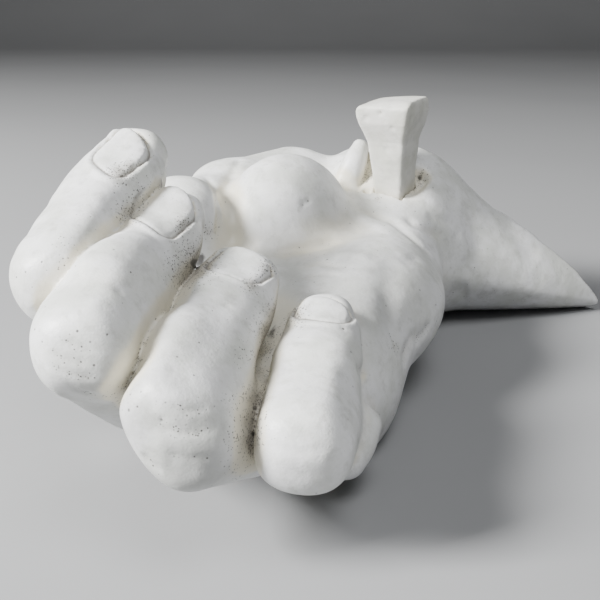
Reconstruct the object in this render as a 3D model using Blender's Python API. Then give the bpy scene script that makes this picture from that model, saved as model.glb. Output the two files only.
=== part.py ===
"""Plaster cast of a right hand lying palm up, fingers curled back over the palm, with a
loose plaster spike standing in a socket at the wrist.

Everything is in metres and +Z is up. +X is the little-finger side, +Y runs from the
knuckles to the cut forearm, and the flat underside lies on Z = 0.
Sizes below are in millimetres and are scaled by MM where they are used.
"""
import math

import bmesh
import bpy
from mathutils import Matrix, Vector

MM = 0.001

# ---------------------------------------------------------------- driving dimensions (mm)
GAP = 0.3                      # clearance between any two pieces that touch
VOXEL = 1.5                    # grain of the plaster blank before it is thinned
BLANK_TRIANGLES = 6200         # triangles kept on the casting before its holes are cut

# Finger joints: M knuckle, P middle joint, Q end joint, R fingertip.
# w, up and down are the half width, the back's depth and the pad's depth of each of the
# three bones, at its start, middle and end.
FINGERS = {
    "index": dict(M=(-36.0, -36.6, 18.1), P=(-30.9, -64.7, 44.8), Q=(-37.0, -43.5, 51.0), R=(-36.4, -26.3, 65.3),
                  w=((10, 9.5, 8.9), (8.9, 9.9, 9.2), (9.1, 9.9, 7.1)),
                  up=((9.5, 8.5, 8.7), (8.6, 9.4, 8.6), (8.6, 7.3, 5.1)),
                  down=((11, 10, 8.8), (8.9, 9.3, 8), (8, 8.9, 6.9)), roll=0.07),
    "middle": dict(M=(-24.4, -44.9, 12.1), P=(-16.9, -77.5, 38.6), Q=(-24.1, -52.2, 42.6), R=(-24.6, -31.3, 52.8),
                   w=((10.2, 10.5, 9.0), (8.9, 10.6, 9.9), (9.9, 10.1, 7.0)),
                   up=((9.2, 10.1, 9.3), (9.3, 10.0, 9.4), (9.3, 6.6, 5.3)),
                   down=((11, 11, 8.8), (8.8, 9.6, 8), (8, 8.9, 6.8)), roll=-0.13),
    "ring": dict(M=(2.5, -42.2, 9.5), P=(0.9, -77.7, 27.3), Q=(-7.4, -53.6, 32.6), R=(-9.0, -30.0, 40.3),
                 w=((10.6, 9.4, 8.6), (8.8, 10.0, 9.6), (9.5, 10.2, 8.0)),
                 up=((9.5, 10.7, 11.8), (12.1, 11.3, 9.3), (9.1, 7.3, 5.8)),
                 down=((10.9, 8.5, 8.9), (8.9, 8.6, 7.9), (7.9, 8.6, 6.8)), roll=-0.65),
    "little": dict(M=(9.0, -39.5, 14.0), P=(18.9, -69.5, 23.1), Q=(13.8, -50.8, 26.3), R=(8.8, -31.1, 32.9),
                   w=((9.6, 10.1, 8.5), (8.2, 8.7, 7.8), (7.8, 8.3, 6.3)),
                   up=((9, 8.6, 8.6), (8.6, 7.6, 7.1), (7.1, 5.5, 5.2)),
                   down=((9.6, 8.9, 7.6), (7.6, 8, 7), (7, 7.4, 5.8)), roll=0.17),
}
# The four palm bones run from the knuckles to these points in the wrist.
PALM_ENDS = {"index": (-24, 31, 20), "middle": (-12, 31, 20), "ring": (-1, 29, 20), "little": (7, 27, 19)}
# Thumb: wrist joint, knuckle, end joint, tip.
THUMB = ((-32.6, 51.2, 36.3), (-41.2, 24.7, 37.5), (-38.5, -8.5, 41.9), (-34.3, -14.9, 24.4))
# Soft swellings of the palm: centre, radii, direction of the first radius in plan.
SWELLINGS = {
    "thumb_ball": ((-20.6, 15.9, 30.8), (23, 15.9, 24.2), (-0.28, -0.94)),
    "heel": ((10.3, 2.8, 21), (25, 15.5, 14.3), (0, -1)),
    "heel_edge": ((11.7, -25.8, 13), (18, 11.5, 17), (0, -1)),
    "palm_floor": ((-8, -5, 12), (30, 20, 21), (0, 1)),
    "wound_lip": ((-9.5, 48, 45), (5.5, 3.6, 9), (0, 1)),
}
WRIST = ((-8, 29, 20), (-6, 61, 24))
FOREARM = ((-7, 51.5, 23.2), (5.9, 103.4, 20.5))
FOREARM_EDGE = ((-1.7, 48.8, 21), (39.3, 98.6, 3))   # the little-finger side spreads into a thin lip
# The forearm ends at a slanted cut: a point on it and its outward direction.
STUMP_POINT = (3.5, 62.3, 51.6)
STUMP_NORMAL = (0.11, 0.87, 0.45)

# Spike: its leaning centre line, its turn in plan, and the height and the two half widths
# of its four-sided sections.
SPIKE_FOOT = (2.6, 43.4, 33.0)
SPIKE_HEAD = (0.8, 41.2, 67.6)
SPIKE_TURN = -7.5
SPIKE_SECTIONS = ((33.3, 3.4, 4.2), (41.0, 3.7, 4.8), (50.5, 4.9, 5.4), (56.3, 5.7, 5.9), (61.5, 7.3, 7.9),
                  (64.4, 7.8, 8.1), (66.8, 7.7, 8.0), (67.6, 7.1, 7.4))
SPIKE_EDGE = 0.7
SOCKET_FLOOR = 33.0
DOWEL_RADIUS = 1.5
DOWEL_BOTTOM, DOWEL_TOP = 25.0, 53.0

WIRE_RADIUS = 1.0
ROD_RADIUS = 2.5
WIRE_SIDES = 8
# Where each wire leaves its finger's knuckle, crosses the wrist and leaves the stump.
WIRE_WRIST = {"index": (-19, 38, 25), "middle": (-9, 38, 26), "ring": (9, 38, 24), "little": (12, 36, 15)}
WIRE_EXIT = {"index": (-8, 94, 31), "middle": (0, 94, 33), "ring": (11, 94, 27), "little": (22, 94, 14)}
THUMB_WIRE_EXIT = (-12, 94, 21)
ROD_PATH = ((-2, -8, 15), (0, 35, 14), (7, 96, 13))


# ---------------------------------------------------------------- helpers
def clear_scene():
    for ob in list(bpy.data.objects):
        bpy.data.objects.remove(ob, do_unlink=True)


def material(name, colour, rough, metal=0.0):
    m = bpy.data.materials.new(name)
    m.use_nodes = True
    b = m.node_tree.nodes["Principled BSDF"]
    b.inputs["Base Color"].default_value = (*colour, 1.0)
    b.inputs["Roughness"].default_value = rough
    b.inputs["Metallic"].default_value = metal
    return m


def add_object(name, bm, mat=None, smooth=True):
    me = bpy.data.meshes.new(name)
    bmesh.ops.recalc_face_normals(bm, faces=bm.faces)
    bm.to_mesh(me)
    bm.free()
    if smooth:
        me.shade_smooth()
        me.set_sharp_from_angle(angle=math.radians(40))
    if mat:
        me.materials.append(mat)
    ob = bpy.data.objects.new(name, me)
    bpy.context.scene.collection.objects.link(ob)
    return ob


def hide_guide(ob):
    ob.hide_render = True
    ob.display_type = "WIRE"
    return ob


def three(values, t):
    """The curve through three values at the start, middle and end of a bone."""
    a, b, c = values
    return a * (1 - t) * (1 - 2 * t) + b * 4 * t * (1 - t) + c * t * (2 * t - 1)


def frame_on(direction, side):
    u = Vector(direction).normalized()
    w = Vector(side)
    w = (w - w.dot(u) * u).normalized()
    return u, u.cross(w), w


def limb(bm, start, end, back, width, up, down, cap0, cap1, power=2.3, rings=6, seg=18, capn=4):
    """A closed, tapering, round-ended bone. back is the side that up measures towards."""
    a, b = Vector(start), Vector(end)
    length = (b - a).length
    u, v, w = frame_on(b - a, back)
    stations = []
    for j in range(1, capn + 1):
        e = -cap0 * math.cos(j / (capn + 1) * math.pi / 2)
        stations.append((0.0, e, (1 - (abs(e) / cap0) ** power) ** (1 / power)))
    stations += [(i / (rings - 1), 0.0, 1.0) for i in range(rings)]
    for j in range(capn, 0, -1):
        e = cap1 * math.cos(j / (capn + 1) * math.pi / 2)
        stations.append((1.0, e, (1 - (e / cap1) ** power) ** (1 / power)))
    loops = []
    for t, e, s in stations:
        rv, ru, rd = three(width, t) * s, three(up, t) * s, three(down, t) * s
        centre = a + u * (t * length + e)
        loop = []
        for k in range(seg):
            c, d = math.cos(2 * math.pi * k / seg), math.sin(2 * math.pi * k / seg)
            rw = ru if d > 0 else rd
            r = (abs(c / rv) ** power + abs(d / rw) ** power) ** (-1 / power)
            loop.append(bm.verts.new((centre + v * (c * r) + w * (d * r)) * MM))
        loops.append(loop)
    for one, two in zip(loops, loops[1:]):
        for k in range(seg):
            bm.faces.new((one[k], one[(k + 1) % seg], two[(k + 1) % seg], two[k]))
    for loop, e in ((loops[0], a - u * cap0), (loops[-1], b + u * cap1)):
        tip = bm.verts.new(e * MM)
        for k in range(seg):
            bm.faces.new((loop[k], loop[(k + 1) % seg], tip))


def swelling(bm, centre, radii, plan, tilt=0.0):
    along = Vector((plan[0], plan[1], 0)).normalized()
    across = Vector((0, 0, 1)).cross(along)
    turn = Matrix((along, across, (0, 0, 1))).transposed().to_4x4()
    size = Matrix.Diagonal((radii[0] * MM, radii[1] * MM, radii[2] * MM, 1.0))
    place = Matrix.Translation(Vector(centre) * MM)
    bmesh.ops.create_uvsphere(bm, u_segments=24, v_segments=14, radius=1.0, matrix=place @ turn @ size)


def rounded_path(points, radii, step=18.0):
    """A path along straight legs whose corners are true arcs of the given radii."""
    pts = [Vector(p) for p in points]
    out = [pts[0]]
    for i in range(1, len(pts) - 1):
        p, d0, d1 = pts[i], (pts[i - 1] - pts[i]).normalized(), (pts[i + 1] - pts[i]).normalized()
        inner = d0.angle(d1)
        if inner > math.radians(179):
            out.append(p)
            continue
        back = radii[i - 1] / math.tan(inner / 2)
        back = min(back, 0.48 * (pts[i - 1] - p).length, 0.48 * (pts[i + 1] - p).length)
        r = back * math.tan(inner / 2)
        centre = p + (d0 + d1).normalized() * (r / math.sin(inner / 2))
        s = p + d0 * back - centre
        axis = s.cross(p + d1 * back - centre).normalized()
        sweep = math.pi - inner
        n = max(2, math.ceil(math.degrees(sweep) / step))
        for k in range(n + 1):
            out.append(centre + Matrix.Rotation(sweep * k / n, 3, axis) @ s)
    out.append(pts[-1])
    return out


def tube(bm, path, radius, sides=WIRE_SIDES):
    """A closed round bar along the path, its rings carried without twist."""
    tangents = []
    for i in range(len(path)):
        a, b = path[max(i - 1, 0)], path[min(i + 1, len(path) - 1)]
        tangents.append((b - a).normalized())
    normal = tangents[0].orthogonal().normalized()
    loops = []
    for p, t in zip(path, tangents):
        normal = (normal - normal.dot(t) * t).normalized()
        side = t.cross(normal)
        loops.append([bm.verts.new((p + normal * (radius * math.cos(2 * math.pi * k / sides))
                                    + side * (radius * math.sin(2 * math.pi * k / sides))) * MM)
                      for k in range(sides)])
    for one, two in zip(loops, loops[1:]):
        for k in range(sides):
            bm.faces.new((one[k], one[(k + 1) % sides], two[(k + 1) % sides], two[k]))
    bm.faces.new(loops[0])
    bm.faces.new(loops[-1])


def spike_axis(z):
    """The point of the spike's centre line at a height."""
    a, b = Vector(SPIKE_FOOT), Vector(SPIKE_HEAD)
    return a + (b - a) * ((z - a.z) / (b.z - a.z))


def bar(bm, z0, z1, radius, sides=24):
    """A round bar on the spike's centre line."""
    a, b = spike_axis(z0), spike_axis(z1)
    place = Matrix.Translation((a + b) / 2 * MM) @ (b - a).to_track_quat("Z", "Y").to_matrix().to_4x4()
    bmesh.ops.create_cone(bm, cap_ends=True, segments=sides, radius1=radius * MM, radius2=radius * MM,
                          depth=(b - a).length * MM, matrix=place)


def square_column(bm, sections, grow=0.0):
    turn = Matrix.Rotation(math.radians(SPIKE_TURN), 3, "Z")
    loops = []
    for z, hx, hy in sections:
        hx, hy = hx + grow, hy + grow
        loops.append([bm.verts.new((spike_axis(z) + turn @ Vector((sx * hx, sy * hy, 0))) * MM)
                      for sx, sy in ((-1, -1), (1, -1), (1, 1), (-1, 1))])
    for one, two in zip(loops, loops[1:]):
        for k in range(4):
            bm.faces.new((one[k], one[(k + 1) % 4], two[(k + 1) % 4], two[k]))
    bm.faces.new(loops[0])
    bm.faces.new(loops[-1])


def cut(ob, cutter, name):
    mod = ob.modifiers.new(name, "BOOLEAN")
    mod.operation = "DIFFERENCE"
    mod.solver = "EXACT"
    mod.object = cutter
    return mod


def evaluated_mesh(ob, name):
    dg = bpy.context.evaluated_depsgraph_get()
    return bpy.data.meshes.new_from_object(ob.evaluated_get(dg), depsgraph=dg)


def keep_largest_shell(me):
    """The blank is one skin: any bubble trapped where fingers meet is filled."""
    bm = bmesh.new()
    bm.from_mesh(me)
    left, shells = set(bm.verts), []
    while left:
        seed = left.pop()
        shell, front = {seed}, [seed]
        while front:
            for e in front.pop().link_edges:
                for v in e.verts:
                    if v not in shell:
                        shell.add(v)
                        front.append(v)
        left -= shell
        shells.append(shell)
    shells.sort(key=len, reverse=True)
    extra = [v for s in shells[1:] for v in s]
    if extra:
        bmesh.ops.delete(bm, geom=extra, context="VERTS")
    bm.to_mesh(me)
    bm.free()


def on_stump(path_a, path_b):
    """Where the leg from path_a to path_b meets the stump's face."""
    a, b, n, p = Vector(path_a), Vector(path_b), Vector(STUMP_NORMAL), Vector(STUMP_POINT)
    return a + (b - a) * ((p - a).dot(n) / (b - a).dot(n))


# ---------------------------------------------------------------- the hand blank
def finger_limbs(bm, f):
    m, p, q, r = (Vector(f[k]) for k in "MPQR")
    across = (p - m).cross(q - p).normalized()
    for i, (a, b) in enumerate(((m, p), (p, q), (q, r))):
        back = (b - a).normalized().cross(across)
        if i == 2:
            back = back * math.cos(f["roll"]) + across * math.sin(f["roll"])
        w, up, down = f["w"][i], f["up"][i], f["down"][i]
        if i == 2:
            tip = w[2] * 0.82
            b = b - (b - a).normalized() * tip
            limb(bm, a, b, back, w, up, down, w[0] * 0.8, tip, 2.4)
        else:
            limb(bm, a, b, back, w, up, down, w[0] * 0.9, w[2] * 0.88, 2.3 if i == 0 else 2.5)


def build_blank():
    bm = bmesh.new()
    for f in FINGERS.values():
        finger_limbs(bm, f)
    for key, end in PALM_ENDS.items():
        limb(bm, FINGERS[key]["M"], end, (0, 0, -1), (10.5, 10.5, 12), (12.5, 17, 20), (12, 16, 14), 9, 10, 2.2)
    a, b, c, d = THUMB
    up = (0, 0, 1)
    limb(bm, a, b, up, (14.2, 13.5, 12.2), (14.3, 13.2, 12.4), (15, 14, 13), 12, 11)
    limb(bm, b, c, up, (11.7, 10.4, 10.5), (11.7, 9.2, 8.7), (12, 11, 11), 11, 10)
    limb(bm, c, d, (0, 0.5, 1), (10.1, 10.3, 9), (9.9, 8.4, 8.2), (10, 9, 8), 10, 8)
    limb(bm, WRIST[0], WRIST[1], up, (26, 25, 25.6), (17, 22.3, 24.5), (20, 22, 23), 12, 10, 2.6)
    limb(bm, FOREARM[0], FOREARM[1], up, (24, 23.8, 24), (27, 31, 27.5), (22, 22, 20), 10, 12, 2.3, seg=28)
    limb(bm, FOREARM_EDGE[0], FOREARM_EDGE[1], up, (17, 25, 28.2), (26.4, 23.5, 26.2), (18, 14, 8), 12, 14, 1.7, seg=28)
    for centre, radii, plan in SWELLINGS.values():
        swelling(bm, centre, radii, plan)
    blank = hide_guide(add_object("hand_blank", bm))
    re = blank.modifiers.new("one_skin", "REMESH")
    re.mode = "VOXEL"
    re.voxel_size = VOXEL * MM
    sm = blank.modifiers.new("soften", "SMOOTH")
    sm.factor = 0.6
    sm.iterations = 7
    return blank


# ---------------------------------------------------------------- the model
def main():
    clear_scene()
    plaster = material("plaster", (0.83, 0.83, 0.81), 0.75)
    cream = material("cream_plaster", (0.86, 0.84, 0.78), 0.7)
    zinc = material("galvanised_wire", (0.55, 0.56, 0.57), 0.45, 1.0)
    steel = material("steel", (0.42, 0.41, 0.40), 0.4, 1.0)

    blank = build_blank()
    skin = evaluated_mesh(blank, "hand_casting")
    keep_largest_shell(skin)
    skin.name = "hand_casting"
    bpy.data.objects.remove(blank, do_unlink=True)
    skin.materials.clear()
    skin.materials.append(plaster)
    skin.shade_smooth()
    hand = bpy.data.objects.new("hand_casting", skin)
    bpy.context.scene.collection.objects.link(hand)
    thin = hand.modifiers.new("thin_out", "DECIMATE")
    thin.decimate_type = "COLLAPSE"
    thin.ratio = BLANK_TRIANGLES / (2 * len(skin.polygons))
    thin.use_collapse_triangulate = True

    # flat underside and slanted forearm cut
    bm = bmesh.new()
    bmesh.ops.create_cube(bm, size=1.0, matrix=Matrix.Translation((0, 0, -0.05)) @ Matrix.Diagonal((0.5, 0.5, 0.1, 1)))
    cut(hand, hide_guide(add_object("cutter_base", bm, smooth=False)), "base")
    n = Vector(STUMP_NORMAL).normalized()
    bm = bmesh.new()
    turn = n.to_track_quat("Z", "Y").to_matrix().to_4x4()
    bmesh.ops.create_cube(bm, size=1.0, matrix=Matrix.Translation(Vector(STUMP_POINT) * MM) @ turn
                          @ Matrix.Translation((0, 0, 0.05)) @ Matrix.Diagonal((0.4, 0.4, 0.1, 1)))
    cut(hand, hide_guide(add_object("cutter_stump", bm, smooth=False)), "stump")

    # square socket for the spike, its floor below the wrist's surface
    bm = bmesh.new()
    low, rest = SPIKE_SECTIONS[0], SPIKE_SECTIONS[1:-2]
    square_column(bm, ((SOCKET_FLOOR, *low[1:]),) + rest + ((80.0, *rest[-1][1:]),), grow=GAP)
    cut(hand, hide_guide(add_object("cutter_socket", bm, smooth=False)), "socket")
    bm = bmesh.new()
    bar(bm, DOWEL_BOTTOM - GAP, SOCKET_FLOOR + 2.0, DOWEL_RADIUS + GAP)
    hand_bore = hide_guide(add_object("cutter_dowel_hand", bm))
    cut(hand, hand_bore, "dowel_bore")

    # the spike, with its edges worn round, bored from below for the dowel
    bm = bmesh.new()
    square_column(bm, SPIKE_SECTIONS)
    spike = add_object("spike", bm, cream, smooth=False)
    bev = spike.modifiers.new("worn_edges", "BEVEL")
    bev.width = SPIKE_EDGE * MM
    bev.segments = 2
    bev.limit_method = "ANGLE"
    bev.angle_limit = math.radians(35)
    bm = bmesh.new()
    bar(bm, SOCKET_FLOOR - 3.0, DOWEL_TOP + GAP, DOWEL_RADIUS + GAP)
    cut(spike, hide_guide(add_object("cutter_dowel_spike", bm)), "dowel_bore")
    bm = bmesh.new()
    bar(bm, DOWEL_BOTTOM, DOWEL_TOP, DOWEL_RADIUS)
    add_object("spike_dowel", bm, steel)

    # reinforcement: a wire along each finger and the thumb, and the forearm rod
    lines = {}
    for key, f in FINGERS.items():
        q, r = Vector(f["Q"]), Vector(f["R"])
        tip = r - (r - q).normalized() * 7.0
        m = Vector(f["M"]) + Vector((0, 2.0, 1.0))
        lines["wire_" + key] = ((tip, q, f["P"], m, WIRE_WRIST[key], WIRE_EXIT[key]), (9, 4.2, 9, 40), WIRE_RADIUS)
    a, b, c, d = (Vector(p) for p in THUMB)
    lines["wire_thumb"] = ((d + Vector((0, 3, 2)), c, b, a + Vector((2, 0, -2)), THUMB_WIRE_EXIT), (6, 9, 9), WIRE_RADIUS)
    lines["forearm_rod"] = (ROD_PATH, (80,), ROD_RADIUS)
    for name, (points, radii, radius) in lines.items():
        points = [Vector(p) for p in points]
        path = rounded_path(points, radii)
        end = on_stump(points[-2], points[-1])
        sides = 12 if radius > 2 else WIRE_SIDES
        bm = bmesh.new()
        tube(bm, path[:-1] + [end], radius, sides)
        add_object(name, bm, steel if name == "forearm_rod" else zinc)
        first = path[0] - (path[1] - path[0]).normalized() * GAP
        bm = bmesh.new()
        tube(bm, [first] + path[1:], radius + GAP, sides)
        cut(hand, hide_guide(add_object("cutter_" + name, bm)), name)

    # put the middle of the footprint on the origin
    bpy.context.view_layer.update()
    dg = bpy.context.evaluated_depsgraph_get()
    lo, hi = Vector((9, 9, 9)), Vector((-9, -9, -9))
    for ob in bpy.data.objects:
        if ob.type != "MESH" or ob.hide_render:
            continue
        me = ob.evaluated_get(dg).to_mesh()
        for v in me.vertices:
            for i in range(3):
                lo[i], hi[i] = min(lo[i], v.co[i]), max(hi[i], v.co[i])
        ob.evaluated_get(dg).to_mesh_clear()
    shift = Vector((-(lo.x + hi.x) / 2, -(lo.y + hi.y) / 2, 0.0))
    for ob in bpy.data.objects:
        ob.location = shift


main()
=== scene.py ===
"""Looks for the plaster hand cast: a right hand lying palm up with its fingers curled over
the palm, a square spike standing in a split in the wrist, and the reinforcing wires that
end at the slanted stump face. Lengths in the shape code are millimetres; +X is the
little-finger side, +Y runs from the knuckles to the forearm and the underside is Z = 0."""
import math

import bpy
import numpy as np
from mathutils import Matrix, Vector


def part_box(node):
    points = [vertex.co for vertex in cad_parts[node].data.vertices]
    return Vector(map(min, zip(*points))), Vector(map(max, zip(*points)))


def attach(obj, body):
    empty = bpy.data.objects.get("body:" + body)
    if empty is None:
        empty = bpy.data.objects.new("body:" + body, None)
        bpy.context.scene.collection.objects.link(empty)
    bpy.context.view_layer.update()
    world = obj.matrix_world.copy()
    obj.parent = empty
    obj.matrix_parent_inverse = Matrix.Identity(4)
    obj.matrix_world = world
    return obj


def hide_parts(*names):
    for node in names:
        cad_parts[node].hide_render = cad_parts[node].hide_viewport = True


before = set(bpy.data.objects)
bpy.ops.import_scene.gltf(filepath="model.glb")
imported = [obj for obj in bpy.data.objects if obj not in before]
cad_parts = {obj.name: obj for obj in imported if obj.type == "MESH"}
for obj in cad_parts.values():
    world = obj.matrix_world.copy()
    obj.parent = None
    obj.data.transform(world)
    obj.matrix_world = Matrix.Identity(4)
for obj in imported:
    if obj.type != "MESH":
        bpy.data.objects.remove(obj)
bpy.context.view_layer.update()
MM = 0.001

# The spike's leaning centre line. The frame puts the middle of the footprint on the origin;
# the dowel, which lies on that line, shows by how much the shape's own numbers are shifted.
SPIKE_FOOT, SPIKE_HEAD = np.array([2.6, 43.4, 33.0]), np.array([0.8, 41.2, 67.6])
SPIKE_AT = np.array([2.2, 43.0])
_lo, _hi = (np.array(c, float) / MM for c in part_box("spike_dowel"))
_mid = SPIKE_FOOT + (SPIKE_HEAD - SPIKE_FOOT) * ((39.0 - 33.0) / 34.6)
SHIFT = np.array([(_lo[0] + _hi[0]) / 2 - _mid[0], (_lo[1] + _hi[1]) / 2 - _mid[1], 0.0])

# Viewpoint (mm, in the shape's numbers): a low three-quarter view from the knuckles.
EYE = np.array([64.0, -183.0, 92.8])
EYE_AZ, EYE_PITCH, EYE_F = math.radians(22.0), math.radians(20.0), 820.0   # focal length in pixels of a 600 px frame


# ------------------------------------------------------------------ maths helpers
def unit(v):
    v = np.asarray(v, float)
    return v / np.linalg.norm(v)


TT = np.linspace(0, 1, 65)


def three(vals):
    """Table of the curve through three radii at a bone's start, middle and end."""
    a, b, c = vals
    t = TT
    return a * (1 - t) * (1 - 2 * t) + b * 4 * t * (1 - t) + c * t * (2 * t - 1)


def smin(a, b, k):
    h = np.maximum(k - np.abs(a - b), 0) / k
    return np.minimum(a, b) - h * h * k * 0.25


def smax(a, b, k):
    return -smin(-a, -b, k)


def step(a, b, x):
    t = np.clip((x - a) / (b - a), 0, 1)
    return t * t * (3 - 2 * t)


def bump(x, w):
    return np.exp(-(x / w) ** 2)


NEAR = 9.0       # how far from a form its distance is worked out; farther points are just FAR
FAR = 60.0


def within(lo, hi, P):
    return ((P[:, 0] > lo[0]) & (P[:, 0] < hi[0]) & (P[:, 1] > lo[1]) & (P[:, 1] < hi[1])
            & (P[:, 2] > lo[2]) & (P[:, 2] < hi[2]))


class Form:
    """A solid form that is only evaluated near itself."""

    def __call__(s, P):
        m = within(s.lo, s.hi, P)
        if m.all():
            return s.exact(P)
        d = np.full(len(P), FAR)
        if m.any():
            d[m] = s.exact(P[m])
        return d


class Bone(Form):
    """A tapering, round-ended form along a line, with its own depth on each side."""

    def __init__(s, a, b, back, half, up, down, c0, c1, n=2.3, planes=(), soft=2.0):
        s.a = np.asarray(a, float)
        b = np.asarray(b, float)
        s.L = np.linalg.norm(b - s.a)
        s.u = (b - s.a) / s.L
        w = np.asarray(back, float)
        s.w = unit(w - (w @ s.u) * s.u)
        s.v = np.cross(s.u, s.w)
        s.half, s.up, s.down = three(half), three(up), three(down)
        s.c0, s.c1, s.n = c0, c1, n
        s.planes, s.soft = planes, soft
        r = max(s.half.max(), s.up.max(), s.down.max(), c0, c1) + NEAR
        s.lo, s.hi = np.minimum(s.a, b) - r, np.maximum(s.a, b) + r

    def local(s, P):
        q = P - s.a
        return q @ s.u, q @ s.v, q @ s.w

    def exact(s, P):
        u, v, w = s.local(P)
        t = np.clip(u / s.L, 0, 1)
        e = u - t * s.L
        rv = np.interp(t, TT, s.half)
        rw = np.where(w > 0, np.interp(t, TT, s.up), np.interp(t, TT, s.down))
        rc = np.where(e < 0, s.c0, s.c1)
        k = (np.abs(v) / rv) ** s.n + (np.abs(w) / rw) ** s.n + (np.abs(e) / rc) ** s.n
        k = np.maximum(k, 1e-9) ** (1 / s.n)
        d = np.sqrt(v * v + w * w + e * e) * (1 - 1 / k)
        for phi, keep in s.planes:
            # a flattened side facing phi from the back towards +v
            a, c = math.sin(phi), math.cos(phi)
            rr = (np.abs(a / rv) ** s.n + np.abs(c / (np.interp(t, TT, s.up) if c > 0 else np.interp(t, TT, s.down))) ** s.n) ** (-1 / s.n)
            d = smax(d, v * a + w * c - rr * keep, s.soft)
        return d


class Swell(Form):
    def __init__(s, c, r, plan, n=2.0, up=(0, 0, 1)):
        s.c = np.asarray(c, float)
        s.r = r
        s.u = unit(plan)
        w = np.asarray(up, float)
        s.w = unit(w - (w @ s.u) * s.u)
        s.v = np.cross(s.w, s.u)
        s.n = n
        r = max(s.r) + NEAR
        s.lo, s.hi = s.c - r, s.c + r

    def exact(s, P):
        q = P - s.c
        u, v, w = q @ s.u, q @ s.v, q @ s.w
        k = (np.abs(u) / s.r[0]) ** s.n + (np.abs(v) / s.r[1]) ** s.n + (np.abs(w) / s.r[2]) ** s.n
        k = np.maximum(k, 1e-9) ** (1 / s.n)
        return np.sqrt(u * u + v * v + w * w) * (1 - 1 / k)


def lattice_hash(i, j, k, seed):
    h = (i.astype(np.int64) * 374761393 + j.astype(np.int64) * 668265263 + k.astype(np.int64) * 2147483647 + seed * 1274126177) & 0xFFFFFFFF
    h = ((h ^ (h >> 13)) * 1274126177) & 0xFFFFFFFF
    h = ((h ^ (h >> 16)) * 2246822519) & 0xFFFFFFFF
    return ((h ^ (h >> 15)) & 0xFFFFFF) / float(0xFFFFFF) * 2 - 1


def noise(P, scale, seed=0):
    """Smooth value noise between -1 and 1."""
    q = P / scale + 1000.37
    i = np.floor(q)
    f = q - i
    f = f * f * f * (f * (f * 6 - 15) + 10)
    i = i.astype(np.int64)
    out = 0
    for a in (0, 1):
        for b in (0, 1):
            for c in (0, 1):
                w = (f[:, 0] if a else 1 - f[:, 0]) * (f[:, 1] if b else 1 - f[:, 1]) * (f[:, 2] if c else 1 - f[:, 2])
                out = out + w * lattice_hash(i[:, 0] + a, i[:, 1] + b, i[:, 2] + c, seed)
    return out


# ------------------------------------------------------------------ the hand's proportions
FINGERS = {
    "index": dict(M=(-36.0, -36.6, 18.1), P=(-30.9, -64.7, 44.8), Q=(-37.0, -43.5, 51.0), R=(-36.4, -26.3, 65.3),
                  w=((10, 9.5, 8.9), (8.9, 9.9, 9.2), (9.1, 9.9, 7.1)),
                  up=((9.5, 8.5, 8.7), (8.6, 9.4, 8.6), (8.6, 7.3, 5.1)),
                  down=((11, 10, 8.8), (8.9, 9.3, 8), (8, 8.9, 6.9)), roll=0.07, nail=(6.1, 11.2, 0.41, 2.4),
                  planes=((1.15, 0.90), (-0.35, 0.955))),
    "middle": dict(M=(-24.4, -44.9, 12.1), P=(-16.9, -77.5, 38.6), Q=(-24.1, -52.2, 42.6), R=(-24.6, -31.3, 52.8),
                   w=((10.2, 10.5, 9.0), (8.9, 10.6, 9.9), (9.9, 10.1, 7.0)),
                   up=((9.2, 10.1, 9.3), (9.3, 10.0, 9.4), (9.3, 6.6, 5.3)),
                   down=((11, 11, 8.8), (8.8, 9.6, 8), (8, 8.9, 6.8)), roll=-0.13, nail=(6.0, 12.4, 0.30, 1.4),
                   planes=((1.05, 0.90), (-0.30, 0.955))),
    "ring": dict(M=(2.5, -42.2, 9.5), P=(0.9, -77.7, 27.3), Q=(-7.4, -53.6, 32.6), R=(-9.0, -30.0, 40.3),
                 w=((10.6, 9.4, 8.6), (8.8, 10.0, 9.6), (9.5, 10.2, 8.0)),
                 up=((9.5, 10.7, 11.8), (12.1, 11.3, 9.3), (9.1, 7.3, 5.8)),
                 down=((10.9, 8.5, 8.9), (8.9, 8.6, 7.9), (7.9, 8.6, 6.8)), roll=-0.65, nail=(5.9, 11.8, 0.12, 0.2),
                 planes=((0.95, 0.91), (-0.35, 0.955))),
    "little": dict(M=(9.0, -39.5, 14.0), P=(18.9, -69.5, 23.1), Q=(13.8, -50.8, 26.3), R=(8.8, -31.1, 32.9),
                   w=((9.6, 10.1, 8.5), (8.2, 8.7, 7.8), (7.8, 8.3, 6.3)),
                   up=((9, 8.6, 8.6), (8.6, 7.6, 7.1), (7.1, 5.5, 5.2)),
                   down=((9.6, 8.9, 7.6), (7.6, 8, 7), (7, 7.4, 5.8)), roll=0.17, nail=(5.2, 9.5, 0.08, 0.3),
                   planes=((0.95, 0.93), (-0.35, 0.96))),
}
PALM_ENDS = {"index": (-24, 31, 20), "middle": (-12, 31, 20), "ring": (-1, 29, 20), "little": (7, 27, 19)}
THUMB = ((-32.6, 51.2, 36.3), (-41.2, 24.7, 37.5), (-38.5, -8.5, 41.9), (-34.3, -14.9, 24.4))
STUMP_POINT = np.array([3.5, 62.3, 51.6])
STUMP_NORMAL = unit((0.11, 0.87, 0.45))


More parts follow.
